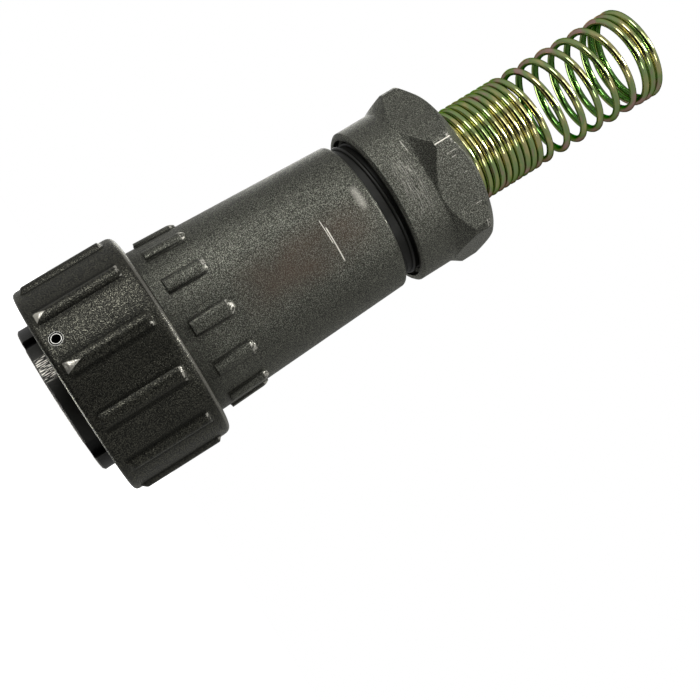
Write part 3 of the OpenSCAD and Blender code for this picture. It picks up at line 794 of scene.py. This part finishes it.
class PLUG_OT_bayonet_pins(bpy.types.Operator):
    """Bayonet pins: shouldered rivets through the ring's wall, hollow outside with a rolled lip"""
    bl_idname = "plug.bayonet_pins"
    bl_label = "Bayonet pins"

    def execute(self, context):
        # Radius and length from the tip, which points at the plug's axis
        tip_reach, head, shank, hollow = 13.15, 1.3, 1.06, 0.64
        outline = rounded([
            (0, 0, 0), (head, 0, 0.3), (head, 1.5, 0), (shank, 1.5, 0), (shank, 3.67, 0.03), (0.98, 3.67, 0.03),
            (0.96, 3.35, 0.02), (0.83, 3.35, 0.02), (0.81, 3.66, 0.05), (0.66, 3.66, 0.05),
            (hollow, 1.6, 0.1), (0, 1.6, 0)])
        pins = spun("bayonet_pins", outline, 48)
        outwards = Matrix.Rotation(math.pi / 2, 4, "Y")
        pins.data.transform(Matrix.Translation((tip_reach * MM, 0, PIN_HEIGHT * MM)) @ outwards)
        baked(pins, crown_tree(), {
            "Count": PIN_COUNT, "Start Angle": FIRST_PIN, "Material": finish_for("pin_steel")})
        dressed(pins, "ring", "pin_steel", "bayonet_pin_1", "bayonet_pin_2", "bayonet_pin_3")
        return {"FINISHED"}


class PLUG_OT_wave_washer(bpy.types.Operator):
    """Wave washer: a thin steel ring in three waves, which flattens when the coupling ring is pressed on"""
    bl_idname = "plug.wave_washer"
    bl_label = "Wave washer"

    def execute(self, context):
        low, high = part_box("wave_washer")
        inner, outer, thick, waves, steps = 12.5, high[0] / MM, 0.3, 3, 144
        rise = (high[2] - low[2]) / MM - thick
        sections = []
        for i in range(steps):
            a = TURN * i / steps
            z = low[2] / MM + rise * (1 - math.cos(a * waves)) / 2
            sections.append([(r * math.cos(a), r * math.sin(a), z + up) for r, up in (
                (inner, 0), (outer, 0), (outer, thick), (inner, thick))])
        piece = swept("wave_washer_spring", sections)
        dressed(piece, "plug", "washer_steel", "wave_washer")
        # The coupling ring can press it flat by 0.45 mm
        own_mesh(piece)
        return {"FINISHED"}


class PLUG_OT_rear_body(bpy.types.Operator):
    """Rear body: a tapered casting with a crown of short ribs"""
    bl_idname = "plug.rear_body"
    bl_label = "Rear body"

    def execute(self, context):
        front, edge, rear, neck_end = 17.5, 18.85, 53.04, 60.2
        wide, narrow, neck, neck_edge = 13.6, 12.18, 10.85, 0.3
        shell_seat, cavity, cable_way, grommet_seat = 11.65, 10.2, 7.0, 9.6
        outline = rounded([
            (wide, front, 0.1), (wide, edge, 0), (narrow, rear, 1.2), (neck, rear, 0.15),
            (neck, neck_end - neck_edge, 0.1), (neck - neck_edge, neck_end, 0.1), (grommet_seat, neck_end, 0.1),
            (grommet_seat, 50.2, 0), (cable_way, 50.2, 0.1), (cable_way, 48.2, 0), (cavity, 46.2, 0),
            (cavity, 28.3, 0), (shell_seat, 28.3, 0), (shell_seat, front, 0.1)], steps=8)
        body = spun("rear_body_casting", outline, 288)
        dressed(body, "plug", "body_coat", "body_shell")
        # The neck and the inside are cut and not painted
        body.data.materials.append(finish_for("thread"))
        for face in body.data.polygons:
            if math.hypot(face.center.x, face.center.y) < (shell_seat + 0.05) * MM:
                face.material_index = 1
        self.add_ribs(context.scene.plug_sizes, lambda z: wide - (z - edge) * (wide - narrow) / (rear - edge))
        return {"FINISHED"}

    def add_ribs(self, sizes, skin):
        """Crown of ribs, square in front and round behind. skin gives the body's radius at a height."""
        high = sizes.body_rib_height / MM
        start, length, half, wall, foot = 20.8, 6.8, 1.2, 0.3, 0.12
        round_at, arc_steps = start + length - half, 12
        rim = [(-half, start), (half, start)]
        for k in range(arc_steps + 1):
            turn = math.pi * k / arc_steps
            rim.append((half * math.cos(turn), round_at + half * math.sin(turn)))
        # Loops up the side of a rib: how far in from the foot, and how high. The top is an arc across the rib
        bend = (half ** 2 + (high - wall) ** 2) / (2 * (high - wall))
        rise = [(-foot, -0.35), (-foot, 0.0), (0.0, 0.05)]
        for inset in (0.02, 0.15, 0.35, 0.6, 0.9, 1.12):
            rise.append((inset, high - bend + math.sqrt(bend ** 2 - (half - inset) ** 2)))
        verts, faces = [], []
        for inset, up in rise:
            for y, z in rim:
                side = math.copysign(max(abs(y) - inset, 0.02), y)
                along = z + min(inset, foot)
                if z > round_at:
                    reach = (half - inset) / half
                    side = y * reach
                    along = round_at + (z - round_at) * reach
                verts.append(((skin(along) + up) * MM, side * MM, along * MM))
        count = len(rim)
        for k in range(len(rise) - 1):
            for i in range(count):
                j = (i + 1) % count
                faces.append((k * count + i, k * count + j, (k + 1) * count + j, (k + 1) * count + i))
        faces.append(tuple(range((len(rise) - 1) * count, len(rise) * count)))
        faces.append(tuple(reversed(range(count))))
        ribs = solid("body_rib_crown", verts, faces, FINE_EDGE)
        baked(ribs, crown_tree(), {
            "Count": sizes.rib_count, "Start Angle": BODY_RIB_START, "Material": finish_for("body_coat")})
        dressed(ribs, "plug", "body_coat")


class PLUG_OT_gland_nut(bpy.types.Operator):
    """Gland nut: a round skirt that swells into six flats with coned ends"""
    bl_idname = "plug.gland_nut"
    bl_label = "Gland nut"

    def execute(self, context):
        skirt, corner, bore, mouth, spring_seat, cable_way = 12.9, 14.65, 11.35, 11.9, 9.7, 8.25
        front, swell_start, swell_end, rear = 55.38, 61.4, 64.1, 68.4
        swell_steps = 8
        swell = []
        for k in range(1, swell_steps):
            t = k / swell_steps
            swell.append((skirt + (corner - skirt) * t ** 1.2, swell_start + (swell_end - swell_start) * t, 0))
        outline = rounded([
            (12.5, front, 0.1), (skirt, front + 0.4, 0.2), (skirt, swell_start, 0)] + swell + [
            (corner, swell_end, 0.3), (corner, 66.7, 0.4), (12.8, rear, 0.2), (cable_way, rear, 0.2),
            (cable_way, 66.3, 0), (spring_seat, 64.6, 0), (spring_seat, 62.5, 0), (bore, 62.5, 0),
            (bore, 56.68, 0), (mouth, 56.38, 0), (mouth, front, 0.1)])
        outline = close_set(outline, 0.15, skirt - 0.05)
        first_corner, pitch, half_across_flats = math.radians(3), TURN / 6, 13.0

        def relief(angle, r, z):
            if r < 12.3 or z < 60:
                return r
            off = off_centre(angle, first_corner, pitch)
            flat = half_across_flats / math.cos(pitch / 2 - abs(off))
            return soft_min(r, flat, 0.06)

        piece = spun("gland_nut_casting", outline, 576, relief)
        dressed(piece, "gland", "nut_coat", "gland_nut")
        return {"FINISHED"}


class PLUG_OT_strain_spring(bpy.types.Operator):
    """Strain relief: one wire in close turns, open turns and close end turns"""
    bl_idname = "plug.strain_spring"
    bl_label = "Strain relief spring"

    def execute(self, context):
        low, narrow, wide, start = 62.4, 7.28, 8.6, math.radians(60)
        # Turns at which the flare, the close turns, the open turns and the wire end, and the rise of each in a turn
        flare, tight, wound, turns = 2.5, 16.5, 22.5, 25
        tight_pitch, open_pitch, end_pitch = 1.19, 3.23, 1.3
        steps = 60
        points = []
        for i in range(turns * steps + 1):
            t = i / steps
            z = low + tight_pitch * min(t, tight)
            z += open_pitch * max(0, min(t, wound) - tight) + end_pitch * max(0, t - wound)
            r = wide + (narrow - wide) * min(max((t - 1) / (flare - 1), 0), 1)
            a = start + TURN * t
            points.append((r * math.cos(a), r * math.sin(a), z))
        piece = path_object("strain_spring_wire", points)
        baked(piece, wire_tree(), {
            "Wire Diameter": context.scene.plug_sizes.wire_diameter, "Sides": 14,
            "Material": finish_for("spring_zinc")})
        dressed(piece, "gland_slide", "spring_zinc", "strain_relief_spring")
        return {"FINISHED"}


class PLUG_OT_neck_thread(bpy.types.Operator):
    """Thread ridge on the gland neck, in step with the nut's travel"""
    bl_idname = "plug.neck_thread"
    bl_label = "Gland neck thread"

    def execute(self, context):
        pitch = context.scene.plug_sizes.thread_pitch / MM
        low, high, radius, ridge, steps = 53.5, 59.5, 10.9, 0.78, 72
        run_out, run_out_steps = 0.4, 12
        count = int((high - low) / pitch * steps)
        points = []
        for i in range(count + 1):
            a = TURN * i / steps
            # The ridge runs out at both ends
            reach = radius - run_out * max(0, 1 - min(i, count - i) / run_out_steps)
            points.append((reach * math.cos(a), reach * math.sin(a), low + pitch * i / steps))
        piece = path_object("gland_neck_thread", points)
        baked(piece, wire_tree(), {"Wire Diameter": ridge * MM, "Sides": 6, "Material": finish_for("thread")})
        dressed(piece, "plug", "body_coat")
        piece.data.materials[0] = finish_for("thread")
        return {"FINISHED"}


class PLUG_OT_contact_numbers(bpy.types.Operator):
    """Plain contact numbers, moulded as thin raised lines on the insert's face"""
    bl_idname = "plug.contact_numbers"
    bl_label = "Contact numbers"

    def execute(self, context):
        font_to_digit, line, insert_face = 1.37, 0.2, 10
        places = {"1": (7.0, 0.95), "2": (6.9, -0.75), "3": (0.9, 7.3), "4": (0.7, -7.4), "5": (-7.5, 3.3)}
        verts, faces = [], []
        # Seen from the front the insert's up is +X and its right is +Y
        turn = Matrix(((0, 1, 0), (1, 0, 0), (0, 0, -1))).to_4x4()
        for text, (x, y) in places.items():
            curve = bpy.data.curves.new("number_" + text, "FONT")
            curve.body = text
            curve.size = context.scene.plug_sizes.number_height * font_to_digit
            curve.align_x, curve.align_y = "CENTER", "CENTER"
            curve.fill_mode = "NONE"
            curve.bevel_depth = line / 2 * MM
            curve.bevel_resolution = 1
            curve.resolution_u = 6
            stroke = placed("number_" + text, curve)
            mesh = plain_mesh(stroke)
            mesh.transform(Matrix.Translation((x * MM, y * MM, insert_face * MM)) @ turn)
            base = len(verts)
            verts += [v.co[:] for v in mesh.vertices]
            faces += [[base + i for i in p.vertices] for p in mesh.polygons]
            bpy.data.objects.remove(stroke)
        piece = solid("contact_numbers", verts, faces, FINE_EDGE)
        dressed(piece, "plug", "insert_blue")
        piece.data.materials[0] = finish_for("number")
        return {"FINISHED"}


class PLUG_OT_stage(bpy.types.Operator):
    """White table, soft lights and the photograph's camera"""
    bl_idname = "plug.stage"
    bl_label = "Stage"

    def execute(self, context):
        ahead = Vector((-0.6516, 0.7391, 0.1704)).normalized()
        right = Vector((0.4964, 0.2457, 0.8326))
        right = (right - ahead * right.dot(ahead)).normalized()
        above = right.cross(ahead)
        view = Matrix.Translation((0.1328, -0.1261, 0.00873)) @ Matrix((right, above, -ahead)).transposed().to_4x4()
        camera = placed("camera", bpy.data.cameras.new("camera"))
        camera.data.lens = 62.79
        camera.data.sensor_width = 36
        camera.data.clip_start = 0.01
        camera.matrix_world = view
        context.scene.camera = camera
        context.scene.view_settings.view_transform = "Standard"
        self.add_table()
        self.add_lens_card(Matrix.Translation(-ahead * 0.02 - above * 0.02) @ view)
        self.add_surroundings(context.scene)
        self.add_lamps()
        return {"FINISHED"}

    def add_table(self):
        """White light table. From below it is clear, so that the mating face can be seen."""
        white = bpy.data.materials.new("white_light_table")
        white.use_nodes = True
        tree = white.node_tree
        tree.nodes.clear()
        top = add(tree, "ShaderNodeBsdfPrincipled", {
            "Base Color": linear("#f4f4f2"), "Roughness": 0.9,
            "Emission Color": (1, 1, 1, 1), "Emission Strength": 0.97})
        clear = add(tree, "ShaderNodeBsdfTransparent")
        under = add(tree, "ShaderNodeNewGeometry").outputs["Backfacing"]
        both = add(tree, "ShaderNodeMixShader", {0: under, 1: top.outputs[0], 2: clear.outputs[0]})
        add(tree, "ShaderNodeOutputMaterial", {"Surface": both.outputs[0]})
        floor = disc("table", 3, white)
        floor.visible_diffuse = False
        floor.visible_glossy = False
        floor.visible_shadow = False

    def add_lens_card(self, spot):
        """Dark card round the lens: the pieces mirror it where they face the camera."""
        black = new_finish("black_felt", {"Base Color": (0, 0, 0, 1), "Specular IOR Level": 0})[0]
        flag = disc("lens_card", 0.13, black)
        flag.matrix_world = spot
        flag.visible_camera = False
        flag.visible_diffuse = False
        flag.visible_shadow = False

    def add_surroundings(self, scene):
        """White to the camera. As light, it is brighter from above the picture and from the cable end, and dark from
        below the mating end."""
        scene.world = bpy.data.worlds.new("studio")
        scene.world.use_nodes = True
        tree = scene.world.node_tree
        tree.nodes.clear()
        way = add(tree, "ShaderNodeTexCoord").outputs["Generated"]
        lean = add(tree, "ShaderNodeVectorMath", {
            0: way, 1: (-0.5, -0.55, 0.67)}, operation="DOT_PRODUCT").outputs["Value"]
        power = add(tree, "ShaderNodeMapRange", {"Value": lean, 1: -0.6, 2: 0.6, 3: 0.3, 4: 0.42}).outputs[0]
        near = add(tree, "ShaderNodeVectorMath", {
            0: way, 1: (0.13, -0.47, -0.87)}, operation="DOT_PRODUCT").outputs["Value"]
        dim = add(tree, "ShaderNodeMapRange", {"Value": near, 1: 0.7, 2: 0.92, 3: 1.0, 4: 0.05}).outputs[0]
        lit = add(tree, "ShaderNodeBackground", {"Color": (1, 1, 1, 1), "Strength": all_of(tree, power, dim)})
        seen = add(tree, "ShaderNodeBackground", {"Color": (1, 1, 1, 1), "Strength": 1.0})
        ray = add(tree, "ShaderNodeLightPath").outputs["Is Camera Ray"]
        both = add(tree, "ShaderNodeMixShader", {0: ray, 1: lit.outputs[0], 2: seen.outputs[0]})
        add(tree, "ShaderNodeOutputWorld", {"Surface": both.outputs[0]})

    def add_lamps(self):
        """Square soft lamps: place, height on the axis that each points at, size and power."""
        for name, spot, aim, size, power in (
                ("ring_key", (-0.04, -0.35, 0.04), 0.01, 0.13, 0.36),
                ("gland_key", (0.2, -0.287, 0.143), 0.05, 0.18, 0.3),
                ("nut_fill", (0.159, -0.019, 0.09), 0.065, 0.04, 0.026),
                ("end", (0.16, -0.12, 0.4), 0.06, 0.08, 1.2),
                ("back_key", (-0.335, 0.153, 0.2), 0.04, 0.2, 0.26),
                ("face_fill", (-0.08, 0.1, -0.25), 0.005, 0.12, 0.6)):
            lamp = bpy.data.lights.new(name, "AREA")
            lamp.size = size
            lamp.energy = power
            back = Vector(spot) - Vector((0, 0, aim))
            placed(name, lamp).matrix_world = (
                Matrix.Translation(spot) @ back.to_track_quat("Z", "Y").to_matrix().to_4x4())


class PLUG_PT_pieces(bpy.types.Panel):
    """The plug's sizes and colours, and the operators that make its pieces"""
    bl_label = "Bayonet cable plug"
    bl_space_type = "VIEW_3D"
    bl_region_type = "UI"
    bl_category = "Plug"

    def draw(self, context):
        for group in (context.scene.plug_sizes, context.scene.plug_colours):
            for name in group.__annotations__:
                self.layout.prop(group, name)
        for maker in PIECES:
            self.layout.operator(maker.bl_idname)


PIECES = (
    PLUG_OT_node_finishes, PLUG_OT_coupling_ring, PLUG_OT_bayonet_pins, PLUG_OT_wave_washer, PLUG_OT_rear_body,
    PLUG_OT_gland_nut, PLUG_OT_strain_spring, PLUG_OT_neck_thread, PLUG_OT_contact_numbers, PLUG_OT_stage)
CLASSES = (PlugSizes, PlugColours) + PIECES + (PLUG_PT_pieces,)


def register():
    for cls in CLASSES:
        bpy.utils.register_class(cls)
    bpy.types.Scene.plug_sizes = bpy.props.PointerProperty(type=PlugSizes)
    bpy.types.Scene.plug_colours = bpy.props.PointerProperty(type=PlugColours)


def unregister():
    del bpy.types.Scene.plug_colours
    del bpy.types.Scene.plug_sizes
    for cls in reversed(CLASSES):
        bpy.utils.unregister_class(cls)


def main():
    register()
    bpy.ops.plug.node_finishes()
    bpy.ops.plug.coupling_ring()
    bpy.ops.plug.bayonet_pins()
    bpy.ops.plug.wave_washer()
    bpy.ops.plug.rear_body()
    bpy.ops.plug.gland_nut()
    bpy.ops.plug.strain_spring()
    bpy.ops.plug.neck_thread()
    bpy.ops.plug.contact_numbers()
    bpy.ops.plug.stage()


if __name__ == "__main__":
    main()
